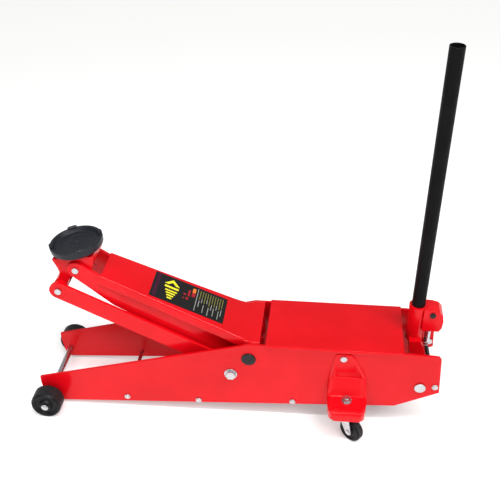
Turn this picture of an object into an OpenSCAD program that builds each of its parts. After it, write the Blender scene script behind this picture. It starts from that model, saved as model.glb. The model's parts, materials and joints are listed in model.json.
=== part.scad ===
// Long-chassis hydraulic floor jack, 3 ton class.
// +X to the handle end, -X to the lifting saddle, Z up, wheels on Z = 0.
// Inside the modules X starts at the front axle; base() moves it to the middle of the jack.

/* [Frame] */
// distance over the outer faces of the two side plates
frame_w = 176; // [160:1:220]
// side plate thickness
plate_t = 6; // [4:0.5:8]
// rear end of the side plates, from the front axle
rear_x = 977; // [940:1:1180]
// height of the level top edge of the side plates
plate_top = 235.5; // [232:0.5:240]
// height of the plates' top edge at the nose
nose_top = 88; // [80:1:96]

/* [Front wheels] */
// front wheel radius
wheel_r = 38; // [34:0.5:46]
// front wheel width
wheel_w = 42; // [30:1:52]
// front axle diameter
axle_d = 16; // [12:0.5:20]
// gap between plate and wheel filled by the axle spacer
wheel_gap = 13; // [8:1:20]

/* [Lift arm] */
// lift pivot, from the front axle
piv_x = 516; // [505:1:530]
// lift pivot height
piv_z = 192; // [188:1:196]
// lift pivot shaft diameter
piv_d = 30; // [24:1:36]
// half width between the inner faces of the arm's side plates
arm_in = 40; // [36:1:42]
// arm side plate thickness
arm_t = 8; // [5:0.5:8]
// angle of the arm's top above level
arm_slope = 24.2; // [22:0.1:26]
// arm front pin, from the front axle
pinc_x = 104; // [98:1:110]
// arm front pin height
pinc_z = 402; // [396:1:408]
// pivot pin diameter of the arm and link ends
pin_d = 14; // [10:1:17]
// parallel link: its pins sit this far ahead of the arm's
link_dx = 45; // [40:1:50]
// parallel link: its pins sit this far below the arm's
link_dz = 52; // [48:1:58]
// parallel link bar width
link_w = 45; // [36:1:54]
// parallel link bar thickness
link_t = 8; // [5:0.5:10]

/* [Saddle] */
// saddle centre, from the front axle
saddle_x = 99; // [95:1:103]
// saddle radius over the lip
saddle_r = 63.5; // [55:0.5:76]
// height of the centre of the saddle's lip
saddle_z = 456.5; // [452:0.5:462]
// saddle tilt toward the front in degrees
saddle_tilt = 7.5; // [4:0.1:16]
// saddle post diameter
post_d = 30; // [24:1:36]

/* [Top cover] */
// front edge of the cover, from the front axle
cover_x0 = 557; // [554:1:566]
// rear edge of the cover, ahead of the plates' rear end
cover_back = 93; // [90:1:110]
// cover sheet thickness
cover_t = 3; // [2:0.5:4]

/* [Casters] */
// caster stem, ahead of the plates' rear end
stem_back = 221; // [200:1:240]
// caster stem, out from the side plate
stem_out = 38; // [36:1:48]
// top of the outrigger shelf
shelf_z = 112; // [106:1:118]
// caster wheel radius
cw_r = 30; // [26:0.5:31]
// caster wheel width
cw_w = 22; // [16:1:26]
// caster trail
trail = 21; // [15:1:21]
// swivel angle of the left caster at rest
swivel_l = -39; // [-60:1:60]

/* [Handle] */
// handle tube diameter
handle_d = 32; // [27:0.5:39]
// handle tube bore
handle_bore = 25; // [20:0.5:26]
// bore at the top end of the handle, for the upper section
joint_bore = 27.2; // [26:0.1:28]
// depth of that bore
joint_depth = 60; // [40:1:100]
// height of the top of the handle
handle_top = 948; // [700:1:1100]
// socket pivot shaft, ahead of the plates' rear end
yoke_back = 47; // [41:1:53]
// socket pivot shaft height
yoke_z = 133.5; // [130:0.5:136]
// socket pivot shaft diameter
yoke_d = 25; // [20:1:30]
// handle leans back by this angle at rest
lean = 0.75; // [0:0.05:2]
// handle axis ahead of the socket pivot
yoke_off = 18.5; // [16:0.5:20]

/* [Hydraulics] */
// ram rod diameter
ram_d = 32; // [26:1:38]
// ram cylinder outer radius
cyl_r = 36; // [30:1:38]
// crank radius from the lift pivot to the ram pin
crank_r = 70; // [66:1:72]
// pump plunger diameter
plunger_d = 18; // [14:1:20]

/* [Fasteners] */
// tie rod bolt diameter
bolt_d = 8; // [6:1:10]
// caster bracket bolt diameter
brk_d = 10; // [8:1:12]
// rear link pivot bolt diameter
link_bolt_d = 20; // [14:1:22]
// caster kingpin diameter
king_d = 12; // [10:1:14]
// caster axle diameter
caster_d = 8; // [6:1:10]

/* [Fits] */
// radial running clearance of every turning or sliding shaft
run = 0.05; // [0.02:0.01:0.1]
// side gap between parts that turn past each other
side = 0.5; // [0.3:0.1:1.5]

/* [Hidden] */
$fn = 64;

// a cut runs this far past the face that it opens
cut = 1;

// frame
xm = (rear_x - wheel_r) / 2;
hw = frame_w / 2;
hi = hw - plate_t;
ar = axle_d / 2;
wy0 = hw + wheel_gap + side;
wy1 = wy0 + wheel_w;
bolt_r = bolt_d / 2;
brk_r = brk_d / 2;
// tie rods: x, z, radius
tie_rod = [[201, 39.5, 5], [386, 43.5, 6], [624, 59.5, 6]];
rear_bolt = [rear_x - 12, 138.5];

// lift arm and parallel links
pr = piv_d / 2;
pn = pin_d / 2;
hub_r = pr + 4;
arm_out = arm_in + arm_t;
sheet = 4;
flange_d = 25;
arm_x0 = 165;
arm_z0 = 391;
arm_top_r = 240;
arm_front = arm_out + sheet;
arm_rear = hi - 10;
bend_x = arm_x0 + (arm_z0 - arm_top_r) / tan(arm_slope);
arm_len = (bend_x - arm_x0) / cos(arm_slope);
arm_end = cover_x0 - 14;
arm_u = [0, 200, 330, arm_len];
// half outline of the level tail, from the bend to the cover
tail = [[bend_x - 1, arm_rear], [bend_x + 12, hi - 4], [bend_x + 22, hi - side], [arm_end, hi - side]];
pd_x = pinc_x - link_dx;
pd_z = pinc_z - link_dz;
pb_x = piv_x - link_dx;
pb_z = piv_z - link_dz;
lk0 = arm_out + 8;
lk1 = lk0 + link_t;
link_bolt_r = link_bolt_d / 2;
head_t = 2.5;

// saddle, in its own tilted frame
sr = post_d / 2;
post_w0 = -36;
seat_w = -10;
seat_t = 4;

// hydraulics
rr = ram_d / 2;
crank_a = 14;
ck_x = piv_x - crank_r * sin(crank_a);
ck_z = piv_z - crank_r * cos(crank_a);
ck_pin = 9;
ck_y0 = 18;
ck_y1 = 30;
slot_gap = 0.45;
ram_z = piv_z - crank_r + 2.6;
yoke_x = rear_x - yoke_back;
blk_x1 = yoke_x - 64;
blk_x0 = blk_x1 - 76;
blk_z0 = 84;
blk_z1 = 168;
cyl_x0 = piv_x + 102;
valve_z = 148;
valve_r = 7;
filler_x = blk_x0 + 38;
filler_r = 6;

// casters
stem_x = rear_x - stem_back;
stem_y = hw + stem_out;
king_r = king_d / 2;
caster_r = caster_d / 2;
fork_y = cw_w / 2 + 1;
fork_t = 3;
crown_z = 2 * cw_r + 6.5;
king_z = crown_z + 8;
brk_bolt = [stem_x - 12, plate_top - 20];
// half profile of the caster wheel, from the bore to the middle of the tread
half_tread = [[caster_r + run, -cw_w / 2], [9, -cw_w / 2], [10, -cw_w / 2 + 2.5],
  [cw_r - 8, -cw_w / 2 + 2.5], [cw_r - 6, -cw_w / 2 + 0.5], [cw_r - 2.5, -cw_w / 2 + 0.5],
  [cw_r, -cw_w / 2 + 4]];

// handle end, in the frame of the socket pivot
yr = yoke_d / 2;
hr = handle_d / 2;
ear_y0 = 20;
ear_y1 = 34;
// web that joins the ears under the socket: its half length and its top
web_u = 14;
web_w = 96;
roll_a = 22.5;
roll_r = 28;
roll_pin = 5;
roll_out = 8;
roll_u = roll_r * sin(roll_a);
roll_w = -roll_r * cos(roll_a);
plunger_r = plunger_d / 2;
plunger_z = yoke_z - roll_r * (1 + cos(roll_a)) / 2;
plunger_x1 = yoke_x + roll_u - roll_out - side;
cap_t = 7;
// how far the plunger reaches into the block at rest, and its full stroke
plunger_in = 16;
stroke = 22;
gear_w0 = 126;
gear_w1 = 140;
spin_w = 108;
tooth_n1 = 14;
tooth_n2 = 17;
tooth_h = 3.3;
tooth_gap = 0.5;
gear_rt = hr - 0.3;
pinion_rt = 18.6;
spin_u = gear_rt + pinion_rt - tooth_h + tooth_gap - yoke_off;
spin_r = 5;
sock_t = 4.5;
cavity_r = pinion_rt + 0.6;
case_y = cavity_r + 2.8;
// rear face of the gear case, behind the pinion
case_u = spin_u + cavity_r + 9.8;
case_bolt = [15, 171];
ball_w = 66;
rod_tilt = 14;
tube_w = gear_w1 + 2;
tube_len = handle_top - yoke_z - tube_w;

// points on an arc about cx, cy, from angle a0 to a1 in n steps
function arc(cx, cy, r, a0, a1, n) =
  [for (i = [0:n]) let (a = a0 + (a1 - a0) * i / n) [cx + r * cos(a), cy + r * sin(a)]];
// the same outline points with y negated, in reverse order
function flip(p) = [for (i = [len(p) - 1:-1:0]) [p[i][0], -p[i][1]]];

module base() translate([-xm, 0, 0]) children();
// X-Z outline swept along Y from y0 to y1
module ysweep(y0, y1) translate([0, y1, 0]) rotate([90, 0, 0]) linear_extrude(y1 - y0) children();
module ycyl(x, z, r, y0, y1) translate([x, y1, z]) rotate([90, 0, 0]) cylinder(r = r, h = y1 - y0);
module xcyl(x0, x1, z, r) translate([x0, 0, z]) rotate([0, 90, 0]) cylinder(r = r, h = x1 - x0);
module both() {
  children();
  mirror([0, 1, 0]) children();
}

// ---------- frame ----------
module plate_outline() polygon([[-23, nose_top], [-23, 66], [-17, 24], [-3, 9.5],
  [rear_x - 103, 66.5], [rear_x, 119.5], [rear_x - 6, 225], [rear_x - 11, 231.5],
  [rear_x - 18, 232.5], [rear_x - 85, plate_top], [piv_x, plate_top]]);
module plate_hole(x, z, r) ycyl(x, z, r, -hw - cut, -hi + cut);
module side_plate() difference() {
  ysweep(-hw, -hi) plate_outline();
  plate_hole(0, wheel_r, ar);
  plate_hole(piv_x, piv_z, pr);
  plate_hole(pb_x, pb_z, link_bolt_r);
  plate_hole(yoke_x, yoke_z, yr);
  for (t = tie_rod) plate_hole(t[0], t[1], bolt_r);
  plate_hole(rear_bolt[0], rear_bolt[1], bolt_r);
  plate_hole(brk_bolt[0], brk_bolt[1], brk_r);
}
module side_plate_left() color("red") base() side_plate();
module side_plate_right() color("red") base() mirror([0, 1, 0]) side_plate();

module front_axle() color("silver") base() ycyl(0, wheel_r, ar, -wy1 - side, wy1 + side);
module axle_spacers() color("silver") base() both() difference() {
  ycyl(0, wheel_r, ar + 4, -wy0 + side, -hw);
  ycyl(0, wheel_r, ar, -wy0 - cut, -hw + cut);
}
module axle_caps() color("silver") base() both() union() {
  ycyl(0, wheel_r, ar + 1, -wy1 - side - 3.5, -wy1 - side);
  ycyl(0, wheel_r, ar - 1, -wy1 - side - 5, -wy1 - side - 3.5);
}
module front_wheel() translate([0, 0, wheel_r]) rotate([90, 0, 0]) rotate_extrude() polygon([
  [ar + run, wy0], [wheel_r - 12, wy0], [wheel_r - 8, wy0 + 1], [wheel_r - 4, wy0],
  [wheel_r - 1.2, wy0 + 1.5], [wheel_r, wy0 + 5], [wheel_r, wy1 - 6], [wheel_r - 1.2, wy1 - 2.5],
  [wheel_r - 4, wy1 - 0.5], [wheel_r - 8, wy1 - 0.5], [wheel_r - 12, wy1 - 4],
  [ar + 8, wy1 - 4], [ar + 5, wy1], [ar + run, wy1]]);
module front_wheel_left() color("black") base() front_wheel();
module front_wheel_right() color("black") base() mirror([0, 1, 0]) front_wheel();

module tie_rods() color("silver") base() for (t = tie_rod) ycyl(t[0], t[1], t[2], -hi, hi);
module small_bolt(x, z) union() {
  ycyl(x, z, bolt_r, -hw, -hi);
  ycyl(x, z, bolt_r + 3.5, -hw - 3.5, -hw);
  ycyl(x, z, bolt_r + 1, -hw - 5, -hw - 3.5);
}
module tie_rod_bolts() color("silver") base() both() for (t = tie_rod) small_bolt(t[0], t[1]);
module rear_bolts() color("silver") base() both() union() {
  small_bolt(rear_bolt[0], rear_bolt[1]);
  ycyl(rear_bolt[0], rear_bolt[1], bolt_r + 4, -hi, -hi + 6);
}
module arm_pivot_shaft() color("silver") base() ycyl(piv_x, piv_z, pr, -hw, hw);
module arm_pivot_caps() color("black") base() both() union() {
  ycyl(piv_x, piv_z, pr + 2.5, -hw - 3, -hw);
  ycyl(piv_x, piv_z, pr, -hw - 4.5, -hw - 3);
}
module link_pivot_bolts() color("silver") base() both() union() {
  ycyl(pb_x, pb_z, link_bolt_r, -hw - head_t, -lk0 + side);
  translate([pb_x, -hw - head_t, pb_z]) rotate([90, 0, 0])
    cylinder(r = link_bolt_r + 2.5, h = 7, $fn = 6);
  ycyl(pb_x, pb_z, link_bolt_r + 4, -lk0 + side, -lk0 + side + 3);
}
module link_washers() color("silver") base() both() difference() {
  ycyl(pb_x, pb_z, link_bolt_r + 6, -hw - head_t, -hw);
  ycyl(pb_x, pb_z, link_bolt_r, -hw - head_t - cut, -hw + cut);
}
module link_spacers() color("silver") base() both() difference() {
  ycyl(pb_x, pb_z, link_bolt_r + 5, -hi, -lk1 - side);
  ycyl(pb_x, pb_z, link_bolt_r, -hi - cut, -lk1);
}
module top_cover() color("red") base() union() {
  cover_len = rear_x - cover_back - cover_x0;
  cover_y = hw + cover_t + side;
  translate([cover_x0, -cover_y, plate_top]) cube([cover_len, 2 * cover_y, cover_t]);
  both() translate([cover_x0, -cover_y, plate_top - 6]) cube([cover_len, cover_t, 6 + cover_t]);
}

// ---------- lift arm ----------
// half width of the channel at u along the slope: narrow at the saddle, wide at the pivot
function arm_w(u) = lookup(u, [[0, arm_front], [200, arm_front + 0.45 * (arm_rear - arm_front)],
  [330, arm_front + 0.8 * (arm_rear - arm_front)], [arm_len, arm_rear]]);
// strip of sheet thickness inside a half outline
module flange(p) polygon(concat(p, [for (i = [len(p) - 1:-1:0]) [p[i][0], p[i][1] - sheet]]));
module arm_top_channel() color("red") base() union() {
  slope_edge = [for (u = arm_u) [u, arm_w(u)]];
  translate([arm_x0, 0, arm_z0]) rotate([0, arm_slope, 0]) {
    translate([0, 0, -sheet]) linear_extrude(sheet) polygon(concat(slope_edge, flip(slope_edge)));
    both() translate([0, 0, -flange_d]) linear_extrude(flange_d) flange(slope_edge);
  }
  translate([0, 0, arm_top_r - sheet]) linear_extrude(sheet) polygon(concat(tail, flip(tail)));
  both() translate([0, 0, arm_top_r - flange_d + 1]) linear_extrude(flange_d - 1) flange(tail);
}
module arm_side() difference() {
  ysweep(-arm_out, -arm_in) polygon(concat(
    arc(pinc_x, pinc_z, 21, 66, 245, 20),
    [[120, 362], [185, 304], [300, 238], [440, 172]],
    arc(piv_x, piv_z, 32, 225, 345, 12),
    [[arm_end - 1, arm_top_r - 26], [arm_end - 1, arm_top_r - sheet], [bend_x - 1, arm_top_r - sheet],
     [arm_x0 - sheet * sin(arm_slope), arm_z0 - sheet * cos(arm_slope)]]));
  ycyl(piv_x, piv_z, hub_r, -arm_out - cut, -arm_in + cut);
  ycyl(pinc_x, pinc_z, pn, -arm_out - cut, -arm_in + cut);
}
module arm_side_left() color("red") base() arm_side();
module arm_side_right() color("red") base() mirror([0, 1, 0]) arm_side();
module arm_hub() color("red") base() difference() {
  ycyl(piv_x, piv_z, hub_r, -hi + side, hi - side);
  ycyl(piv_x, piv_z, pr + run, -hi - cut, hi + cut);
}
module arm_crank() color("red") base() both() difference() {
  ysweep(-ck_y1, -ck_y0) polygon(concat(
    arc(piv_x, piv_z, hub_r + 12, -10, 160, 14), arc(ck_x, ck_z, ck_pin + 8, 170, 350, 14)));
  ycyl(piv_x, piv_z, hub_r, -ck_y1 - cut, -ck_y0 + cut);
  ycyl(ck_x, ck_z, ck_pin, -ck_y1 - cut, -ck_y0 + cut);
}
module arm_crank_pin() color("silver") base() ycyl(ck_x, ck_z, ck_pin, -ck_y1, ck_y1);
module saddle_bracket_pin() color("silver") base() union() {
  ycyl(pinc_x, pinc_z, pn, -arm_out, arm_out);
  both() ycyl(pinc_x, pinc_z, pn + 1, -arm_out - 4, -arm_out);
}
module rating_label() color("black") base() translate([arm_x0, 0, arm_z0]) rotate([0, arm_slope, 0])
  translate([120, -47.5, 0]) cube([192, 95, 0.6]);

module link_bar() difference() {
  a = atan2(pd_z - pb_z, pd_x - pb_x);
  ysweep(-lk1, -lk0) polygon(concat(
    arc(pd_x, pd_z, link_w / 2, a - 90, a + 90, 16), arc(pb_x, pb_z, link_w / 2, a + 90, a + 270, 16)));
  ycyl(pd_x, pd_z, pn + run, -lk1 - cut, -lk0 + cut);
  ycyl(pb_x, pb_z, link_bolt_r + run, -lk1 - cut, -lk0 + cut);
}
module parallel_link_left() color("red") base() link_bar();
module parallel_link_right() color("red") base() mirror([0, 1, 0]) link_bar();

// ---------- saddle ----------
module saddle_frame() base() translate([saddle_x, 0, saddle_z]) rotate([0, -saddle_tilt, 0]) children();
// a point of the tilted saddle frame in the upright X-Z plane
function sad(u, w) = [saddle_x + u * cos(saddle_tilt) - w * sin(saddle_tilt),
  saddle_z + u * sin(saddle_tilt) + w * cos(saddle_tilt)];
module bracket_outline() polygon([sad(-55, -25),
  [pd_x - 1, pinc_z - 2], [pd_x + 2, pinc_z - 16], [pd_x - 4, pd_z + 22], [pd_x - 15, pd_z + 10],
  [pd_x - 15, pd_z], [pd_x + 15, pd_z], [pd_x + 18, pd_z + 10], [pinc_x - 18, pinc_z - 26],
  [pinc_x - 9, pinc_z - 19], [pinc_x + 14, pinc_z - 19], [pinc_x + 34, pinc_z - 6],
  sad(44, -42), sad(46, -25)]);
module saddle_bracket() color("red") difference() {
  base() union() {
    ysweep(-arm_in + side, arm_in - side) bracket_outline();
    ycyl(pinc_x, pinc_z, pn + 12, -arm_in + side, arm_in - side);
    ycyl(pd_x, pd_z, pn + 9, -lk0 + side, lk0 - side);
  }
  base() {
    ycyl(pinc_x, pinc_z, pn + run, -arm_in - cut, arm_in + cut);
    ycyl(pd_x, pd_z, pn, -lk0 - cut, lk0 + cut);
    // casting pockets behind the lower boss and behind the upper one
    translate([pd_x + pn + 2, -24, pd_z - 10]) cube([12, 48, 46]);
    translate([pinc_x + pn + 11, -24, pinc_z - 32]) cube([20, 48, 46]);
  }
  saddle_frame() translate([0, 0, post_w0]) cylinder(r = sr + run, h = 20);
}
module link_front_pin() color("silver") base() union() {
  ycyl(pd_x, pd_z, pn, -lk1 - side, lk1 + side);
  both() ycyl(pd_x, pd_z, pn + 1, -lk1 - side - 4, -lk1 - side);
}
module saddle() color("black") saddle_frame() union() {
  rotate_extrude() polygon([[0, seat_w - seat_t], [sr, seat_w - seat_t], [sr, -24.5], [34, -24.5],
    [50, -23], [saddle_r - 5, -18.5], [saddle_r, -13], [saddle_r, 0], [saddle_r - 1.5, 1.5],
    [saddle_r - 6, 1.5], [saddle_r - 8, -1], [saddle_r - 10, -6], [saddle_r - 14, -8.5],
    [saddle_r - 20, seat_w], [0, seat_w]]);
  // four lugs on the lip
  intersection() {
    rotate_extrude() polygon([[saddle_r - 9, -3], [saddle_r + 1, -7], [saddle_r + 1, 4],
      [saddle_r, 6], [saddle_r - 7, 6], [saddle_r - 9, 4]]);
    union() for (a = [25:90:295]) rotate([0, 0, a]) translate([0, -12, -12]) cube([saddle_r + 16, 24, 30]);
  }
}
module saddle_post() color("silver") saddle_frame()
  translate([0, 0, post_w0 + side]) cylinder(r = sr, h = seat_w - seat_t - post_w0 - side);

// ---------- casters ----------
// pressed shell that carries a caster beside the side plate, about the stem's own x
module bracket_shell() difference() {
  brk_y = -hw - 3;
  tip_y = -stem_y - 45;
  union() {
    ysweep(-hw - 5, -hw) polygon([[-28, plate_top - 9], [6, plate_top - 9], [16, plate_top - 21.5],
      [45, 150], [49, shelf_z + 6], [47, shelf_z - 27], [-45, shelf_z - 27], [-48, shelf_z + 6],
      [-44, 150], [-34, plate_top - 21.5]]);
    difference() {
      translate([0, 0, shelf_z - 26]) linear_extrude(26) polygon([[-47, brk_y], [48, brk_y],
        [43, tip_y + 13], [36, tip_y + 4], [24, tip_y], [-24, tip_y], [-35, tip_y + 4], [-42, tip_y + 13]]);
      translate([0, 0, shelf_z - 27]) linear_extrude(22) polygon([[-42.5, -hw - 5], [43.5, -hw - 5],
        [38.5, tip_y + 14], [33, tip_y + 8], [22, tip_y + 4.5], [-22, tip_y + 4.5], [-32, tip_y + 8],
        [-37.5, tip_y + 14]]);
    }
    ysweep(-hw - 9, -hw - 4) polygon([[-40, shelf_z - 5], [41, shelf_z - 5], [40, 140], [37, 148],
      [-36, 148], [-39, 140]]);
  }
  translate([0, -stem_y, shelf_z - 30]) cylinder(r = king_r, h = 40);
}
module caster_bracket() difference() {
  translate([stem_x, 0, 0]) bracket_shell();
  ycyl(brk_bolt[0], brk_bolt[1], brk_r, -hw - 5 - cut, -hw + cut);
}
module caster_bracket_left() color("red") base() caster_bracket();
module caster_bracket_right() color("red") base() mirror([0, 1, 0]) caster_bracket();
module caster_bracket_bolts() color("silver") base() both() union() {
  ycyl(brk_bolt[0], brk_bolt[1], brk_r, -hw - 5, -hi);
  ycyl(brk_bolt[0], brk_bolt[1], brk_r + 3, -hw - 9, -hw - 5);
  ycyl(brk_bolt[0], brk_bolt[1], brk_r + 4, -hi, -hi + 6);
}
module caster_kingpins() color("silver") base() both() translate([stem_x, -stem_y, 0]) union() {
  translate([0, 0, king_z]) cylinder(r = king_r, h = shelf_z + 11 - king_z);
  translate([0, 0, king_z - 4]) cylinder(r = king_r + 3.5, h = 4);
  translate([0, 0, shelf_z - 13]) cylinder(r = 20, h = 8);
}
module kingpin_nuts() color("silver") base() both() translate([stem_x, -stem_y, shelf_z]) difference() {
  union() {
    cylinder(r = king_r + 7, h = 2);
    translate([0, 0, 2]) cylinder(r = king_r + 4, h = 7, $fn = 6);
  }
  translate([0, 0, -cut]) cylinder(r = king_r, h = 12);
}
module fork_at() translate([stem_x, -stem_y, 0]) rotate([0, 0, swivel_l]) children();
module caster_fork() fork_at() difference() {
  union() {
    translate([0, 0, crown_z + 8.5]) cylinder(r = 22, h = shelf_z - 13.5 - crown_z - 8.5);
    translate([-19, -fork_y - fork_t, crown_z]) cube([38, 2 * (fork_y + fork_t), 11]);
    both() ysweep(fork_y, fork_y + fork_t) polygon(concat([[-15, crown_z + 10.5], [20, crown_z + 10.5]],
      arc(trail, cw_r, caster_r + 5, 20, -160, 12)));
  }
  translate([0, 0, crown_z - 6.5]) cylinder(r = king_r + 4, h = 15);
  translate([0, 0, crown_z - 6.5]) cylinder(r = king_r + run, h = 50);
  ycyl(trail, cw_r, caster_r, -fork_y - fork_t - cut, fork_y + fork_t + cut);
}
module caster_axle() fork_at() union() {
  ycyl(trail, cw_r, caster_r, -fork_y - fork_t, fork_y + fork_t);
  both() ycyl(trail, cw_r, caster_r + 1.5, -fork_y - fork_t - 2, -fork_y - fork_t);
}
module caster_wheel() fork_at() translate([trail, 0, cw_r]) rotate([90, 0, 0])
  rotate_extrude() polygon(concat(half_tread, flip(half_tread)));
module caster_fork_left() color("silver") base() caster_fork();
module caster_axle_left() color("silver") base() caster_axle();
module caster_wheel_left() color("black") base() caster_wheel();
module caster_fork_right() color("silver") base() mirror([0, 1, 0]) caster_fork();
module caster_axle_right() color("silver") base() mirror([0, 1, 0]) caster_axle();
module caster_wheel_right() color("black") base() mirror([0, 1, 0]) caster_wheel();

// ---------- hydraulic unit ----------
module pump_block() color("dimgray") base() difference() {
  union() {
    translate([blk_x0, -46, blk_z0]) cube([blk_x1 - blk_x0, 92, blk_z1 - blk_z0]);
    translate([blk_x0 + 14, -hi, blk_z0]) cube([40, 2 * hi, 18]);
  }
  xcyl(blk_x0 - cut, blk_x0 + 16, ram_z, rr + run);
  xcyl(blk_x1 - plunger_in - stroke - 3, blk_x1 + cut, plunger_z, plunger_r + run);
  xcyl(blk_x1 - 8, blk_x1 + cut, valve_z, valve_r);
  translate([filler_x, 0, blk_z1 - 10]) cylinder(r = filler_r, h = 10 + cut);
}
module ram_cylinder() color("dimgray") base() difference() {
  union() {
    xcyl(cyl_x0, blk_x0, ram_z, cyl_r);
    xcyl(cyl_x0, cyl_x0 + 26, ram_z, cyl_r + 4);
  }
  xcyl(cyl_x0 - cut, blk_x0 + cut, ram_z, rr + run);
}
module pump_barrel() color("silver") base() difference() {
  xcyl(blk_x1, blk_x1 + 36, plunger_z, plunger_r + 5);
  xcyl(blk_x1 - cut, blk_x1 + 36 + cut, plunger_z, plunger_r + run);
}
module release_valve() color("silver") base() translate([blk_x1 - 8, 0, valve_z])
  rotate([0, 90, 0]) union() {
    cylinder(r = valve_r, h = 8);
    translate([0, 0, 8]) cylinder(r = valve_r + 3, h = 8, $fn = 6);
    translate([0, 0, 16]) cylinder(r = valve_r - 2.5, h = 12);
  }
module filler_plug() color("black") base() translate([filler_x, 0, blk_z1 - 10]) union() {
  cylinder(r = filler_r, h = 10);
  translate([0, 0, 10]) cylinder(r = filler_r + 3, h = 5);
}
module ram_rod() color("silver") base() xcyl(ck_x + 26, blk_x0 - 55, ram_z, rr);
module ram_yoke() color("dimgray") base() difference() {
  translate([ck_x - 18, -14, ram_z - 22]) cube([44, 28, 44]);
  translate([ck_x - ck_pin - slot_gap, -15, ram_z - 14]) cube([2 * (ck_pin + slot_gap), 30, 29]);
}
module pump_plunger() color("silver") base() union() {
  xcyl(blk_x1 - plunger_in, plunger_x1 - cap_t, plunger_z, plunger_r);
  xcyl(plunger_x1 - cap_t, plunger_x1, plunger_z, plunger_r + 2);
}

// ---------- handle end ----------
module yoke_frame() base() translate([yoke_x, 0, yoke_z]) rotate([0, lean, 0]) children();
module yoke_shaft() color("silver") base() union() {
  ycyl(yoke_x, yoke_z, yr, -hw - 1, hw + 1);
  both() ycyl(yoke_x, yoke_z, yr + 1, -hw - 4, -hw - 1);
}
module return_springs() color("dimgray") base() both() union() {
  difference() {
    ycyl(yoke_x, yoke_z, yr + 6, -66, -ear_y1 - 4);
    ycyl(yoke_x, yoke_z, yr + 1, -66 - cut, -ear_y1 - 4 + cut);
  }
  translate([yoke_x - yr - 3.5, -64, yoke_z]) cylinder(r = 2.4, h = 36);
}
module socket_ear() ysweep(-ear_y1, -ear_y0) polygon(concat(
  [[web_u - yoke_off, web_w], [0, web_w - 8], [16, 40]],
  arc(0, 0, yr + 9.5, 10, -20, 4), arc(roll_u, roll_w, roll_pin + 6, 10, -150, 10),
  arc(0, 0, yr + 9.5, 215, 160, 6),
  [[-20, 40], [-web_u - yoke_off, web_w - 16], [-web_u - yoke_off, web_w]]));
module handle_socket() color("red") yoke_frame() difference() {
  union() {
    translate([-yoke_off, 0, 84]) cylinder(r = hr + sock_t, h = 101);
    translate([-yoke_off, 0, 176]) cylinder(r = hr + sock_t + 1, h = 8);
    translate([-yoke_off - web_u, -ear_y1, web_w - 16]) cube([2 * web_u, 2 * ear_y1, 16]);
    both() socket_ear();
  }
  translate([-yoke_off, 0, 96]) cylinder(r = hr + run, h = 100);
  translate([-yoke_off, 0, 70]) cylinder(r = 9, h = 30);
  // window where the pinion reaches the handle's gear
  translate([hr - yoke_off - 6.5, -13, gear_w0 - 1]) cube([sock_t + 7.5, 26, gear_w1 - gear_w0 + 2]);
  translate([-50, -ear_y0, 60]) cube([90, 2 * ear_y0, 22]);
  ycyl(0, 0, yr + run, -40, 40);
  both() ycyl(roll_u, roll_w, roll_pin, -ear_y1 - cut, -ear_y0 + cut);
}
module release_gear_case() color("red") yoke_frame() difference() {
  ysweep(-case_y, case_y) polygon([[-6, gear_w0 - 4], [case_u - 8, gear_w0 - 4],
    [case_u - 2, gear_w0 + 6], [case_u, 152], [case_u - 3, 170], [case_u - 11, 179],
    [case_u - 26, 183], [-6, 184]]);
  translate([-yoke_off, 0, 100]) cylinder(r = hr + sock_t, h = 90);
  translate([-yoke_off, 0, 175.5]) cylinder(r = hr + sock_t + 1.5, h = 20);
  translate([spin_u, 0, gear_w0 - 1]) cylinder(r = cavity_r, h = gear_w1 - gear_w0 + 2);
  translate([spin_u, 0, spin_w]) cylinder(r = spin_r + run, h = 47);
}
module gear_case_bolts() color("black") yoke_frame() both() union() {
  ycyl(case_bolt[0], case_bolt[1], 7, -case_y - 4, -case_y);
  ycyl(case_bolt[0], case_bolt[1], 4, -case_y - 6, -case_y - 4);
}
module pump_roller() color("silver") yoke_frame() union() {
  ycyl(roll_u, roll_w, roll_pin, -ear_y1 - 2, ear_y1 + 2);
  ycyl(roll_u, roll_w, roll_out, -14, 14);
}
module handle_tube() color("black") yoke_frame() translate([-yoke_off, 0, tube_w]) difference() {
  cylinder(r = hr, h = tube_len);
  translate([0, 0, -cut]) cylinder(r = handle_bore / 2, h = tube_len);
  translate([0, 0, tube_len - joint_depth]) cylinder(r = joint_bore / 2, h = joint_depth + cut);
}
// toothed wheel: n teeth, tip radius rt, height h
module cog(n, rt, h) linear_extrude(h) union() {
  circle(r = rt - tooth_h);
  for (i = [0:n - 1]) rotate([0, 0, 360 * i / n]) polygon([[rt - tooth_h - 1, -1.5 * rt / n],
    [rt, -0.7 * rt / n], [rt, 0.7 * rt / n], [rt - tooth_h - 1, 1.5 * rt / n]]);
}
module handle_gear() color("silver") yoke_frame() translate([-yoke_off, 0, 0]) union() {
  translate([0, 0, 97]) cylinder(r = gear_rt - tooth_h, h = gear_w0 - 97);
  translate([0, 0, gear_w0]) cog(tooth_n1, gear_rt, gear_w1 - gear_w0);
  translate([0, 0, gear_w1]) cylinder(r = hr, h = tube_w - gear_w1);
  translate([0, 0, tube_w]) cylinder(r = handle_bore / 2, h = 24);
}
module release_pinion() color("silver") yoke_frame() translate([spin_u, 0, 0]) union() {
  translate([0, 0, gear_w0 + 0.5]) cog(tooth_n2, pinion_rt, gear_w1 - gear_w0 - 1);
  translate([0, 0, spin_w]) cylinder(r = spin_r, h = 46);
}
module release_fork() color("silver") yoke_frame() translate([spin_u, 0, 0]) union() {
  translate([0, 0, ball_w + 8]) cylinder(r = spin_r + 2, h = spin_w - ball_w - 8);
  both() translate([-4, -7.5, ball_w - 3]) cube([8, 2.7, 12]);
}
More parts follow.
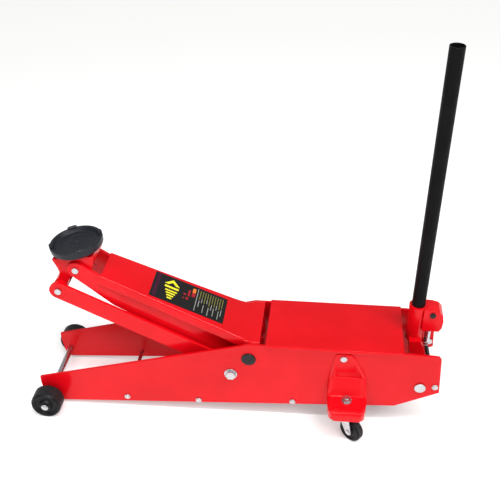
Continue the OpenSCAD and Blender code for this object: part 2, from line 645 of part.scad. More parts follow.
module release_rod() color("dimgray") yoke_frame() translate([spin_u, 0, ball_w])
  rotate([0, -rod_tilt, 0]) union() {
    sphere(r = 4.3);
    translate([0, 0, -12]) cylinder(r = 2.6, h = 12);
    translate([0, 0, -50]) cylinder(r = spin_r, h = 40);
  }

side_plate_left();
side_plate_right();
front_axle();
axle_spacers();
axle_caps();
front_wheel_left();
front_wheel_right();
tie_rods();
tie_rod_bolts();
rear_bolts();
arm_pivot_shaft();
arm_pivot_caps();
link_pivot_bolts();
link_washers();
link_spacers();
top_cover();
arm_top_channel();
arm_side_left();
arm_side_right();
arm_hub();
arm_crank();
arm_crank_pin();
saddle_bracket_pin();
rating_label();
parallel_link_left();
parallel_link_right();
saddle_bracket();
link_front_pin();
saddle();
saddle_post();
caster_bracket_left();
caster_bracket_right();
caster_bracket_bolts();
caster_kingpins();
kingpin_nuts();
caster_fork_left();
caster_axle_left();
caster_wheel_left();
caster_fork_right();
caster_axle_right();
caster_wheel_right();
pump_block();
ram_cylinder();
pump_barrel();
release_valve();
filler_plug();
ram_rod();
ram_yoke();
pump_plunger();
yoke_shaft();
return_springs();
handle_socket();
release_gear_case();
gear_case_bolts();
pump_roller();
handle_tube();
handle_gear();
release_pinion();
release_fork();
release_rod();
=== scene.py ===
"""Looks for the long-chassis floor jack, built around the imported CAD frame."""
import json
import math
import bpy
import bmesh
from mathutils import Matrix, Vector


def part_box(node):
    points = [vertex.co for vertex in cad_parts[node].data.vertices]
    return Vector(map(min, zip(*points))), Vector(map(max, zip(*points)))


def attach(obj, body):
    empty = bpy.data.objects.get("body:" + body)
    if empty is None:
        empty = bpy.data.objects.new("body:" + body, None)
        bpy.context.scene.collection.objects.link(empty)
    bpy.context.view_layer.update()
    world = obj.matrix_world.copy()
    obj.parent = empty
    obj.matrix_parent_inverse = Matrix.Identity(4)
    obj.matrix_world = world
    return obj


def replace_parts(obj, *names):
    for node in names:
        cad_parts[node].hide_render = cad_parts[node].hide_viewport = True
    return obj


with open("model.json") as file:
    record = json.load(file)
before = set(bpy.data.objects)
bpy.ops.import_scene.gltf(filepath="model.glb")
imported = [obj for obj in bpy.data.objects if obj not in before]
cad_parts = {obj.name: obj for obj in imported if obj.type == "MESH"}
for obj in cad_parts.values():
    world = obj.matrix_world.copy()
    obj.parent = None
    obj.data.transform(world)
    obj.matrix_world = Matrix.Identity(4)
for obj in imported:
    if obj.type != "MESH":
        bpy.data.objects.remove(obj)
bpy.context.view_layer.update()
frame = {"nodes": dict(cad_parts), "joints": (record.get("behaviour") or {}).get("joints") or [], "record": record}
NODES = frame["nodes"]
JOINTS = {j["name"]: j for j in frame["joints"]}
SLOT_OF = {s["node"]: s["material_slot"] for s in frame["record"]["subparts"]}
MM = 0.001
SHARP_ANGLE = math.radians(38)
# points nearer than this, in metres, are one point
SAME_POINT = 1e-6
# the left side is the low side along Y
SIDES = (("left", -1), ("right", 1))


# ---------------------------------------------------------------- camera, light, floor
# place in metres, turns in radians, lens and sensor in mm
CAMERA_AT = (0.2212, -1.4767, 1.4689)
CAMERA_YAW, CAMERA_PITCH, CAMERA_ROLL = -0.1188, 0.6001, -0.0203
CAMERA_LENS = 55.86
CAMERA_SENSOR = 36
CAMERA_CLIP = (0.05, 50)
WHITE = (1, 1, 1)
WORLD_STRENGTH = 0.42
# each light: where it is, what it points at and its power; then its spread, or its size in metres
KEY_AT, KEY_AIM, KEY_POWER = (0.9, -1.2, 2.3), (0, 0, 0.2), 1.2
KEY_COLOUR = (1.0, 0.99, 0.97)
KEY_SPREAD = math.radians(30)
TOP_STRIP_AT, TOP_STRIP_AIM, TOP_STRIP_POWER = (0.7, -0.75, 2.1), (0.7, 0, 0.2), 42
TOP_STRIP_SIZE = {"size": 4.2, "size_y": 0.1}
FRONT_STRIP_AT, FRONT_STRIP_AIM, FRONT_STRIP_POWER = (-0.6, -2.1, 1.0), (0, 0, 0.25), 7
FRONT_STRIP_SIZE = {"size": 0.07, "size_y": 1.6}
FLOOR_HALF = 9.0
FLOOR_COLOUR = (0.93, 0.93, 0.93, 1)
FLOOR_GLOW = 0.22


def make_camera():
    """Looks down onto the left side."""
    data = bpy.data.cameras.new("camera")
    data.lens = CAMERA_LENS
    data.sensor_width = CAMERA_SENSOR
    data.clip_start, data.clip_end = CAMERA_CLIP
    camera = bpy.data.objects.new("camera", data)
    bpy.context.scene.collection.objects.link(camera)
    forward = Vector((math.sin(CAMERA_YAW) * math.cos(CAMERA_PITCH),
                      math.cos(CAMERA_YAW) * math.cos(CAMERA_PITCH), -math.sin(CAMERA_PITCH)))
    level = Vector((math.cos(CAMERA_YAW), -math.sin(CAMERA_YAW), 0))
    up = level.cross(forward)
    right = level * math.cos(CAMERA_ROLL) + up * math.sin(CAMERA_ROLL)
    up = right.cross(forward)
    turn = Matrix((right, up, -forward)).transposed()
    camera.matrix_world = Matrix.Translation(CAMERA_AT) @ turn.to_4x4()
    bpy.context.scene.camera = camera


def add_light(name, kind, place, target, power, colour, **shape):
    data = bpy.data.lights.new(name, kind)
    data.energy = power
    data.color = colour
    for setting, value in shape.items():
        setattr(data, setting, value)
    light = bpy.data.objects.new(name, data)
    bpy.context.scene.collection.objects.link(light)
    light.location = place
    light.rotation_euler = (Vector(target) - Vector(place)).to_track_quat("-Z", "Y").to_euler()


def make_floor():
    """A white floor that glows slightly, so that it stays white in the picture."""
    mesh = bpy.data.meshes.new("floor")
    corners = [(x * FLOOR_HALF, y * FLOOR_HALF, 0) for x, y in ((-1, -1), (1, -1), (1, 1), (-1, 1))]
    mesh.from_pydata(corners, [], [(0, 1, 2, 3)])
    floor = bpy.data.objects.new("floor", mesh)
    bpy.context.scene.collection.objects.link(floor)
    paint = bpy.data.materials.new("floor_white")
    paint.use_nodes = True
    shader = paint.node_tree.nodes["Principled BSDF"]
    shader.inputs["Base Color"].default_value = FLOOR_COLOUR
    shader.inputs["Roughness"].default_value = 0.9
    shader.inputs["Specular IOR Level"].default_value = 0.05
    shader.inputs["Emission Color"].default_value = (*WHITE, 1)
    shader.inputs["Emission Strength"].default_value = FLOOR_GLOW
    mesh.materials.append(paint)


def make_lights():
    """A white surround, a soft key and two strips that draw highlights along the edges."""
    world = bpy.data.worlds.new("studio")
    bpy.context.scene.world = world
    world.use_nodes = True
    back = world.node_tree.nodes["Background"]
    back.inputs["Color"].default_value = (*WHITE, 1)
    back.inputs["Strength"].default_value = WORLD_STRENGTH
    add_light("key", "SUN", KEY_AT, KEY_AIM, KEY_POWER, KEY_COLOUR, angle=KEY_SPREAD)
    add_light("strip", "AREA", TOP_STRIP_AT, TOP_STRIP_AIM, TOP_STRIP_POWER, WHITE,
              shape="RECTANGLE", **TOP_STRIP_SIZE)
    add_light("front_strip", "AREA", FRONT_STRIP_AT, FRONT_STRIP_AIM, FRONT_STRIP_POWER, WHITE,
              shape="RECTANGLE", **FRONT_STRIP_SIZE)
    view = bpy.context.scene.view_settings
    view.view_transform = "Standard"
    view.look = "None"


# ---------------------------------------------------------------- materials
# which sockets of a colour mix node are its factor, its two colours and its result
MIX_FACTOR, MIX_FIRST, MIX_SECOND, MIX_RESULT = 0, 6, 7, 2
# the middle part of a noise, which a material's values are spread over
NOISE_LOW, NOISE_HIGH = 0.3, 0.7
# the cosine of a rounded normal's lean at which an edge starts to show, and at which it shows in full
EDGE_STARTS, EDGE_IS_FULL = 0.99, 0.86


class Shader:
    """A material being made: a Principled shader and short ways to add texture nodes to it."""

    def __init__(self, name, colour, **sockets):
        self.material = bpy.data.materials.new(name)
        self.material.use_nodes = True
        self.tree = self.material.node_tree
        self.bsdf = self.tree.nodes["Principled BSDF"]
        self.bsdf.inputs["Base Color"].default_value = (*colour, 1)
        for socket, value in sockets.items():
            self.bsdf.inputs[socket.replace("_", " ")].default_value = value
        self.coords = self.node("ShaderNodeTexCoord").outputs["Object"]
        self.normal = None

    def node(self, kind, **values):
        made = self.tree.nodes.new(kind)
        for name, value in values.items():
            setattr(made, name, value)
        return made

    def link(self, source, target):
        self.tree.links.new(source, target)

    def noise(self, scale, detail=3.0, roughness=0.55, stretch=None):
        made = self.node("ShaderNodeTexNoise")
        made.inputs["Scale"].default_value = scale
        made.inputs["Detail"].default_value = detail
        made.inputs["Roughness"].default_value = roughness
        source = self.coords
        if stretch:
            mapping = self.node("ShaderNodeMapping")
            mapping.inputs["Scale"].default_value = stretch
            self.link(source, mapping.inputs["Vector"])
            source = mapping.outputs["Vector"]
        self.link(source, made.inputs["Vector"])
        return made.outputs["Fac"]

    def ramp(self, fac, stops):
        """Colours along a factor, from (place, colour) stops."""
        made = self.node("ShaderNodeValToRGB")
        elements = made.color_ramp.elements
        while len(elements) < len(stops):
            elements.new(0.5)
        for element, (place, colour) in zip(elements, stops):
            element.position = place
            element.color = (*colour, 1)
        self.link(fac, made.inputs["Fac"])
        return made.outputs["Color"]

    def rescale(self, fac, low, high, out_low, out_high):
        made = self.node("ShaderNodeMapRange")
        for name, value in (("From Min", low), ("From Max", high), ("To Min", out_low), ("To Max", out_high)):
            made.inputs[name].default_value = value
        self.link(fac, made.inputs["Value"])
        return made.outputs["Result"]

    def patches(self, low, high, most, **noise):
        """0 to most, as the noise runs from low to high."""
        return self.rescale(self.noise(**noise), low, high, 0.0, most)

    def mix(self, fac, first, second):
        """Two colours, each a plain one or another node's."""
        made = self.node("ShaderNodeMix", data_type="RGBA")
        self.link(fac, made.inputs[MIX_FACTOR])
        for place, colour in ((MIX_FIRST, first), (MIX_SECOND, second)):
            if isinstance(colour, bpy.types.NodeSocket):
                self.link(colour, made.inputs[place])
            else:
                made.inputs[place].default_value = (*colour, 1)
        return made.outputs[MIX_RESULT]

    def bump(self, height, strength, distance):
        made = self.node("ShaderNodeBump")
        made.inputs["Strength"].default_value = strength
        made.inputs["Distance"].default_value = distance
        self.link(height, made.inputs["Height"])
        if self.normal:
            self.link(self.normal, made.inputs["Normal"])
        self.normal = made.outputs["Normal"]
        self.link(self.normal, self.bsdf.inputs["Normal"])

    def set(self, socket, source):
        self.link(source, self.bsdf.inputs[socket])

    def vary_roughness(self, scale, low, high, detail=4.0):
        """Lets the roughness drift between two values over the surface."""
        cloud = self.noise(scale, detail)
        self.set("Roughness", self.rescale(cloud, NOISE_LOW, NOISE_HIGH, low, high))

    def edges(self, radius):
        """1 on outer edges, 0 elsewhere, from how far a rounded normal leans off the true one."""
        bevel = self.node("ShaderNodeBevel", samples=4)
        bevel.inputs["Radius"].default_value = radius
        geometry = self.node("ShaderNodeNewGeometry")
        dot = self.node("ShaderNodeVectorMath", operation="DOT_PRODUCT")
        self.link(bevel.outputs["Normal"], dot.inputs[0])
        self.link(geometry.outputs["Normal"], dot.inputs[1])
        return self.rescale(dot.outputs["Value"], EDGE_STARTS, EDGE_IS_FULL, 0.0, 1.0)

    def worn_edges(self, radius, patches):
        """As high as the patches on outer edges, 0 elsewhere."""
        both = self.node("ShaderNodeMath", operation="MULTIPLY")
        self.link(self.edges(radius), both.inputs[0])
        self.link(patches, both.inputs[1])
        return both.outputs[0]


def red_paint(name, cast):
    """Glossy red enamel with chipped edges; over a casting it follows the rough sand-cast skin."""
    deep, bright, chip = (0.62, 0.002, 0.006), (0.72, 0.003, 0.009), (0.26, 0.012, 0.014)
    s = Shader(name, bright, Roughness=0.2, Specular_IOR_Level=0.22)
    colour = s.ramp(s.noise(scale=6.0), [(0.35, deep), (0.65, bright)])
    chipped = s.patches(0.6, 0.76, 0.5, scale=75.0, detail=5.0, roughness=0.7)
    s.set("Base Color", s.mix(s.worn_edges(0.0014, chipped), colour, chip))
    s.vary_roughness(34.0, 0.13, 0.22)
    s.bump(s.noise(scale=420.0, detail=2.0), strength=0.03, distance=0.0002)
    if cast:
        s.bump(s.noise(scale=130.0, detail=5.0, roughness=0.65), strength=0.2, distance=0.0008)
    else:
        s.bump(s.noise(scale=11.0, detail=2.0), strength=0.06, distance=0.0015)
    return s.material


def bare_metal(name, colour, roughness, grain=(1, 1, 1), stain=(0.35, 0.34, 0.3)):
    """Plated or turned steel with a fine grain and faint stains."""
    s = Shader(name, colour, Metallic=1.0, Roughness=roughness)
    stained = s.patches(0.45, 0.75, 0.5, scale=60.0, detail=4.0)
    s.set("Base Color", s.mix(stained, colour, stain))
    s.vary_roughness(160.0, roughness * 0.75, roughness * 1.3, detail=3.0)
    s.bump(s.noise(scale=900.0, detail=2.0, roughness=0.5, stretch=grain), strength=0.12, distance=0.0003)
    return s.material


def black_paint(name, colour, roughness, coat, skin_scale):
    """Black coating: satin powder coat or gloss oxide, with a fine skin and grey rubbed edges."""
    pale, bared = tuple(c * 1.7 for c in colour), (0.16, 0.16, 0.165)
    s = Shader(name, colour, Roughness=roughness, Specular_IOR_Level=0.08, Coat_Weight=coat,
               Coat_Roughness=0.15)
    cloud = s.mix(s.patches(0.4, 0.7, 1.0, scale=25.0, detail=4.0), colour, pale)
    rubbed = s.patches(0.5, 0.72, 0.7, scale=90.0, detail=4.0, roughness=0.7)
    s.set("Base Color", s.mix(s.worn_edges(0.001, rubbed), cloud, bared))
    s.vary_roughness(50.0, roughness * 0.8, roughness * 1.25)
    s.bump(s.noise(scale=skin_scale), strength=0.25, distance=0.0004)
    return s.material


def cast_iron():
    """Dark casting left raw, with a coarse skin."""
    dark, pale = (0.035, 0.036, 0.04), (0.09, 0.088, 0.085)
    s = Shader("cast_iron", (0.055, 0.056, 0.06), Roughness=0.62, Metallic=0.35)
    s.set("Base Color", s.ramp(s.noise(scale=30.0, detail=5.0), [(0.3, dark), (0.7, pale)]))
    s.bump(s.noise(scale=210.0, detail=5.0, roughness=0.7), strength=0.5, distance=0.0012)
    return s.material


def wheel_side():
    """The wheels' smooth black faces."""
    dark, pale = (0.005, 0.005, 0.006), (0.012, 0.012, 0.014)
    s = Shader("wheel_side", dark, Roughness=0.26, Specular_IOR_Level=0.12)
    s.set("Base Color", s.ramp(s.noise(scale=40.0, detail=4.0), [(0.35, dark), (0.7, pale)]))
    s.vary_roughness(70.0, 0.24, 0.42)
    s.bump(s.noise(scale=260.0), strength=0.12, distance=0.0005)
    return s.material


def wheel_tread():
    """The wheels' worn, dusty treads."""
    dark, middling, dusty = (0.008, 0.008, 0.009), (0.02, 0.02, 0.022), (0.07, 0.07, 0.068)
    s = Shader("wheel_tread", (0.06, 0.06, 0.062), Roughness=0.55, Specular_IOR_Level=0.2)
    s.set("Base Color", s.ramp(s.noise(scale=55.0, detail=6.0, roughness=0.65),
                               [(0.3, dark), (0.62, middling), (0.8, dusty)]))
    s.vary_roughness(90.0, 0.42, 0.7)
    s.bump(s.noise(scale=300.0, detail=5.0, roughness=0.7), strength=0.4, distance=0.0008)
    return s.material


def saddle_black():
    """Painted casting that the load has rubbed."""
    paint, bared = (0.009, 0.011, 0.016), (0.035, 0.038, 0.045)
    s = Shader("saddle_black", (0.01, 0.012, 0.017), Roughness=0.36, Specular_IOR_Level=0.3)
    rubbed = s.patches(0.55, 0.75, 0.6, scale=48.0, detail=6.0, roughness=0.7, stretch=(1, 3, 1))
    s.set("Base Color", s.mix(rubbed, paint, bared))
    s.vary_roughness(60.0, 0.3, 0.52)
    s.bump(s.noise(scale=150.0, detail=5.0, roughness=0.65), strength=0.35, distance=0.001)
    return s.material


def printed(name, colour):
    """Ink on the label, a little faded in places."""
    s = Shader(name, colour, Roughness=0.3, Specular_IOR_Level=0.2)
    faded = s.patches(0.4, 0.8, 0.3, scale=120.0)
    s.set("Base Color", s.mix(faded, colour, tuple(c * 0.6 for c in colour)))
    s.bump(s.noise(scale=500.0, detail=2.0), strength=0.05, distance=0.0002)
    return s.material


def plain_black():
    """Moulded black plastic."""
    s = Shader("black_poly", (0.02, 0.02, 0.02), Roughness=0.5)
    s.vary_roughness(80.0, 0.4, 0.6, detail=3.0)
    s.bump(s.noise(scale=400.0), strength=0.2, distance=0.0004)
    return s.material


def make_materials():
    """Every material by name: the record's slots first, then what only Blender's pieces use."""
    return {
        "red_enamel": red_paint("red_enamel", False),
        "red_casting": red_paint("red_casting", True),
        "black_gloss": black_paint("black_gloss", (0.012, 0.012, 0.013), 0.28, 0.3, 350.0),
        "zinc_bright": bare_metal("zinc_bright", (0.55, 0.57, 0.59), 0.26),
        "bare_steel": bare_metal("bare_steel", (0.42, 0.42, 0.42), 0.32, (1, 8, 1)),
        "cast_iron_dark": cast_iron(),
        "black_poly": plain_black(),
        "label_print": printed("label_black", (0.01, 0.01, 0.011)),
        "wheel_black": wheel_side(),
        "saddle_black": saddle_black(),
        "ground_chrome": bare_metal("ground_chrome", (0.78, 0.78, 0.79), 0.08, (8, 1, 1), (0.6, 0.6, 0.6)),
        "spring_steel": bare_metal("spring_steel", (0.1, 0.1, 0.105), 0.35),
        "handle_black": black_paint("handle_black", (0.003, 0.003, 0.0035), 0.5, 0.0, 700.0),
        "wheel_tread": wheel_tread(),
        "label_yellow": printed("label_yellow", (0.85, 0.78, 0.03)),
        "label_olive": printed("label_olive", (0.2, 0.19, 0.04)),
        "label_pale": printed("label_pale", (0.45, 0.47, 0.42)),
        "label_red": printed("label_red", (0.4, 0.012, 0.02)),
        "label_orange": printed("label_orange", (0.85, 0.2, 0.02)),
        "label_plum": printed("label_plum", (0.05, 0.006, 0.025)),
    }


# ---------------------------------------------------------------- CAD nodes that stay
# how far each node's outer edges are rounded, in mm; the rest take the small default
EDGE_MM = {
    "side_plate_left": 1.0, "side_plate_right": 1.0, "arm_side_left": 1.2, "arm_side_right": 1.2,
    "arm_crank": 1.2, "parallel_link_left": 1.6, "parallel_link_right": 1.6, "saddle_bracket": 2.6,
    "handle_socket": 1.8, "release_gear_case": 3.0, "pump_block": 2.5, "ram_yoke": 1.5,
    "caster_fork_left": 0.8, "caster_fork_right": 0.8, "arm_hub": 0.8, "rating_label": 0.0,
    "handle_gear": 0.25, "release_pinion": 0.25}
DEFAULT_EDGE_MM = 0.5
EDGE_STEPS = 3
EDGE_ANGLE = math.radians(32)
FLAT_ANGLE = math.radians(0.4)
WELD_WITHIN = 2e-6


def finish_cad_node(name):
    """The node keeps its CAD shape; modifiers join its faces and round its edges."""
    node = NODES[name]
    node.data.materials.clear()
    node.data.materials.append(MATERIALS[SLOT_OF[name]])
    width = EDGE_MM.get(name, DEFAULT_EDGE_MM) * MM
    if not width:
        return
    weld = node.modifiers.new("weld", "WELD")
    weld.merge_threshold = WELD_WITHIN
    join = node.modifiers.new("join", "DECIMATE")
    join.decimate_type = "DISSOLVE"
    join.angle_limit = FLAT_ANGLE
    bevel = node.modifiers.new("edge", "BEVEL")
    bevel.width = width
    bevel.segments = EDGE_STEPS
    bevel.limit_method = "ANGLE"
    bevel.angle_limit = EDGE_ANGLE
    bevel.miter_outer = "MITER_ARC"
    bevel.use_clamp_overlap = True
    shade = node.modifiers.new("shade", "WEIGHTED_NORMAL")
    shade.keep_sharp = True


# ---------------------------------------------------------------- ways to make a piece
def new_piece(name, bm, body, slot, *materials):
    """Turns bm into an object that moves with its body; faces pick from the materials by index."""
    mesh = bpy.data.meshes.new(name)
    bmesh.ops.recalc_face_normals(bm, faces=bm.faces)
    bm.to_mesh(mesh)
    bm.free()
    for polygon in mesh.polygons:
        polygon.use_smooth = True
    for material in materials:
        mesh.materials.append(MATERIALS[material])
    mesh.set_sharp_from_angle(angle=SHARP_ANGLE)
    piece = bpy.data.objects.new(name, mesh)
    bpy.context.scene.collection.objects.link(piece)
    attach(piece, body)
    return piece


# the most of a side that the curve at one of its ends may take
SIDE_SHARE = 0.48


def rounded(corners, steps=4):
    """Outline points: each corner is (x, y, radius) and becomes a curve that fits between its neighbours."""
    points = []
    for i, (x, y, radius) in enumerate(corners):
        corner = Vector((x, y))
        back = Vector(corners[i - 1][:2]) - corner
        ahead = Vector(corners[(i + 1) % len(corners)][:2]) - corner
        if not radius:
            points.append(corner)
            continue
        reach = min(radius / math.tan(back.angle(ahead) / 2),
                    SIDE_SHARE * back.length, SIDE_SHARE * ahead.length)
        start, end = corner + back.normalized() * reach, corner + ahead.normalized() * reach
        for k in range(steps + 1):
            t = k / steps
            points.append(start * (1 - t) ** 2 + corner * 2 * t * (1 - t) + end * t ** 2)
    return points


def skin(bm, rings, close_path=False):
    """Joins rings of the same number of points with faces, then closes the ends or joins them."""
    made = [[bm.verts.new(p) for p in ring] for ring in rings]
    count = len(made[0])
    for i in range(len(made) if close_path else len(made) - 1):
        first, second = made[i], made[(i + 1) % len(made)]
        for k in range(count):
            n = (k + 1) % count
            bm.faces.new((first[k], first[n], second[n], second[k]))
    if not close_path:
        bm.faces.new(made[0])
        bm.faces.new(made[-1])


def turned(bm, profile, centre, axis, segments, rim=None):
    """A closed profile of (radius, place along the axis) in mm, turned round the axis.

    Faces farther out than rim take the second material.
    """
    axis = Vector(axis).normalized()
    side = axis.orthogonal().normalized()
    other = axis.cross(side)
    rings = []
    for i in range(segments):
        a = 2 * math.pi * i / segments
        out = side * math.cos(a) + other * math.sin(a)
        rings.append([centre + (out * r + axis * w) * MM for r, w in profile])
    skin(bm, rings, close_path=True)
    bmesh.ops.remove_doubles(bm, verts=bm.verts, dist=SAME_POINT)
    if rim is None:
        return
    for face in bm.faces:
        arm = face.calc_center_median() - centre
        if (arm - axis * arm.dot(axis)).length > rim * MM:
            face.material_index = 1


def tube(bm, points, radius, sides=12):
    """A round wire along points in metres; its radius is in mm."""
    circle = [(math.cos(2 * math.pi * k / sides), math.sin(2 * math.pi * k / sides)) for k in range(sides)]
    rings = []
    normal = (points[1] - points[0]).orthogonal().normalized()
    for i, point in enumerate(points):
        ahead = points[min(i + 1, len(points) - 1)] - points[max(i - 1, 0)]
        normal = (normal - ahead * normal.dot(ahead) / ahead.length_squared).normalized()
        other = ahead.normalized().cross(normal)
        rings.append([point + (normal * c + other * s) * radius * MM for c, s in circle])
    skin(bm, rings)


def middle(node):
    low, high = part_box(node)
    return (low + high) / 2


def half_size(node):
    """Half of a node's box along X, Y and Z, in mm."""
    low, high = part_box(node)
    return (high - low) / 2 / MM


# ---------------------------------------------------------------- wheels
FRONT_WHEEL_BORE = 8.3
CASTER_WHEEL_BORE, CASTER_WHEEL_HALF = 4.2, 11.0
# how deep below its edge the tread begins, and how many sides a wheel has
FRONT_TREAD, FRONT_SIDES = 1.4, 96
CASTER_TREAD, CASTER_SIDES = 1.2, 72


def front_wheel(side, sign):
    """Cast wheel with a dished outer face, a raised hub and a worn tread."""
    node = "front_wheel_" + side
    half, radius = half_size(node).yz
    bore = FRONT_WHEEL_BORE
    # the inner face out to the rim, the tread, then the outer face back in to the hub
    profile = rounded([
        (bore, -half, 0.6), (radius * 0.6, -half, 1.2), (radius * 0.65, 3.5 - half, 2),
        (radius * 0.8, 3.5 - half, 2), (radius * 0.85, 0.4 - half, 1.5), (radius - 3, 0.4 - half, 2),
        (radius, 5 - half, 3), (radius, half - 6, 3), (radius - 3, half - 0.8, 2),
        (radius * 0.84, half - 0.8, 1), (radius * 0.79, half - 3, 1), (radius * 0.74, half - 3, 1),
        (radius * 0.68, half - 6.5, 2), (radius * 0.46, half - 6.5, 2), (radius * 0.38, half, 1.5),
        (bore, half, 0.6)])
    bm = bmesh.new()
    turned(bm, profile, middle(node), (0, sign, 0), FRONT_SIDES, rim=radius - FRONT_TREAD)
    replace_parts(new_piece("wheel_front_" + side, bm, node, "wheel_black", "wheel_black", "wheel_tread"), node)


def caster_wheel(side):
    """Small caster wheel with dished faces on both sides."""
    node = "caster_wheel_" + side
    radius, half, bore = half_size(node).z, CASTER_WHEEL_HALF, CASTER_WHEEL_BORE
    face = [(bore, half, 0.5), (9, half, 0.8), (11, half - 3, 1), (radius - 10, half - 3, 1),
            (radius - 7.5, half - 0.6, 1.2), (radius - 2.5, half - 0.6, 2), (radius, half - 4, 3)]
    profile = rounded([(r, -w, fillet) for r, w, fillet in face] + face[::-1])
    axle = JOINTS[node + "_spin"]["axis"]
    bm = bmesh.new()
    turned(bm, profile, middle(node), axle, CASTER_SIDES, rim=radius - CASTER_TREAD)
    wheel = new_piece("wheel_caster_" + side, bm, node, "wheel_black", "wheel_black", "wheel_tread")
    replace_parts(wheel, node)


# ---------------------------------------------------------------- saddle
LIP_RADIUS, POST_RADIUS = 63.5, 15.0
SADDLE_SIDES = 96
# the four lugs: height of their tops in the saddle's profile, place of the first and half width of each
# in degrees, steps along each, and the size of its two ends against its middle
LUG_TOP = 6.0
LUG_FIRST, LUG_HALF = 25, 10.8
LUG_STEPS = 8
LUG_END = 0.82


def saddle_dish(bm, origin, axis):
    """The turned part: the post, the underside, the rolled lip, the rib round the dish and its floor."""
    lip = LIP_RADIUS
    turned(bm, rounded([
        (0, -14, 0), (POST_RADIUS, -14, 0), (POST_RADIUS, -24.5, 0.5), (34, -24.5, 2), (50, -23, 3),
        (58.5, -18.5, 3), (lip, -13, 3), (lip, 0.5, 2), (lip - 2, 1.8, 1.5), (lip - 7, 1.8, 2),
        (lip - 9.5, -2.5, 2), (lip - 12, -7, 3), (lip - 19, -8.6, 2), (lip - 23, -8.4, 1.5),
        (lip - 25, -9.8, 1.5), (20, -10.6, 3), (18, -9.6, 1), (12, -9.6, 1), (10.5, -10.8, 1),
        (0, -10.8, 0)]), origin, axis, SADDLE_SIDES)


def saddle_lug(bm, origin, axis, at):
    """One lug over the lip; at is its middle in degrees."""
    side = axis.cross(Vector((0, 1, 0))).normalized()
    front = axis.cross(side)
    lip, core = LIP_RADIUS, LIP_RADIUS - 4
    section = rounded([(lip - 8.5, -4, 0.5), (lip + 0.8, -7, 0.5), (lip + 0.8, 4, 2), (lip - 1, LUG_TOP, 2),
                       (lip - 6.5, LUG_TOP, 2.5), (lip - 8.5, 3, 1.5)], 3)
    rings = []
    for i in range(LUG_STEPS + 1):
        a = math.radians(at + LUG_HALF * (2 * i / LUG_STEPS - 1))
        out = side * math.cos(a) + front * math.sin(a)
        size = LUG_END if i in (0, LUG_STEPS) else 1.0
        rings.append([origin + (out * (core + (r - core) * size) + axis * (w * size)) * MM
                      for r, w in section])
    skin(bm, rings)


def saddle():
    """Dished saddle with a thick rolled lip, a rib round the dish and four lugs."""
    joint = JOINTS["saddle_turn"]
    axis = Vector(joint["axis"]).normalized()
    place = Vector(joint["pos_m"])
    top = max((v.co - place).dot(axis) for v in NODES["saddle"].data.vertices)
    origin = place + axis * (top - LUG_TOP * MM)
    bm = bmesh.new()
    saddle_dish(bm, origin, axis)
    for k in range(4):
        saddle_lug(bm, origin, axis, LUG_FIRST + 90 * k)
    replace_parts(new_piece("saddle_cast", bm, "saddle", "saddle_black", "saddle_black"), "saddle")


# ---------------------------------------------------------------- return springs
SPRING_WIRE = 2.3
SPRING_TURNS = 5.5
SPRING_STEPS = 20
# where the coil starts and ends, out from the middle of the shaft, and how far its wire's middle is off
# the shaft's surface
SPRING_INNER, SPRING_OUTER, SPRING_OFF = 38.5, 65.5, 3.4
# the straight leg's drop, and the other leg's points: lean along X, rise
SPRING_DROP = 26
SPRING_LEG = ((0, 8), (-0.5, 16), (-2.5, 24), (-6, 30), (-11, 34))


def return_spring(sign):
    """Torsion spring round the socket's shaft: five and a half turns and a leg at each end."""
    centre = middle("yoke_shaft")
    coil = half_size("yoke_shaft").z + SPRING_OFF
    start, end = SPRING_INNER + SPRING_WIRE, SPRING_OUTER - SPRING_WIRE
    count = SPRING_TURNS * SPRING_STEPS
    points = [centre + Vector((coil, sign * start, -SPRING_DROP)) * MM]
    for i in range(int(count) + 1):
        a = 2 * math.pi * i / SPRING_STEPS
        y = start + (end - start) * i / count
        points.append(centre + Vector((coil * math.cos(a), sign * y, coil * math.sin(a))) * MM)
    for lean, rise in SPRING_LEG:
        points.append(centre + Vector((lean - coil, sign * end, rise)) * MM)
    bm = bmesh.new()
    tube(bm, points, SPRING_WIRE)
    return bm


def return_springs():
    for side, sign in SIDES:
        spring = new_piece("spring_" + side, return_spring(sign), "frame", "spring_steel", "spring_steel")
        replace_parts(spring, "return_springs")


# ---------------------------------------------------------------- bent sheet metal
# sheet thickness and bend radius of the cover and of the arm's channel, and the channel's depth
COVER_SHEET, COVER_BEND = 3.0, 7.0
ARM_SHEET, ARM_BEND, ARM_DEPTH = 4.0, 7.0, 24.0
# half the length over which the channel bends from its slope to level, and the sections in it
ARM_BEND_RUN = 22 * MM
ARM_BEND_STEPS = 6
# roundness of a sheet's cut edge, and of an inner corner at least
CUT_EDGE, LEAST_BEND = 0.4, 0.6
BEND_STEPS = 6


def channel_section(half, depth, sheet, bend):
    """Open channel, seen along its length: outer skin, then inner skin, with bent corners."""
    inner = max(bend - sheet, LEAST_BEND)
    return rounded([(-half, -depth, CUT_EDGE), (-half, 0, bend), (half, 0, bend), (half, -depth, CUT_EDGE),
                    (half - sheet, -depth, CUT_EDGE), (half - sheet, -sheet, inner),
                    (sheet - half, -sheet, inner), (sheet - half, -depth, CUT_EDGE)], BEND_STEPS)


def top_cover():
    """The cover over the hydraulics: one sheet bent down along both sides."""
    low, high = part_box("top_cover")
    section = channel_section(high.y / MM, (high.z - low.z) / MM, COVER_SHEET, COVER_BEND)
    bm = bmesh.new()
    skin(bm, [[Vector((x, y * MM, high.z + z * MM)) for y, z in section] for x in (low.x, high.x)])
    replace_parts(new_piece("cover_sheet", bm, "frame", "red_enamel", "red_enamel"), "top_cover")


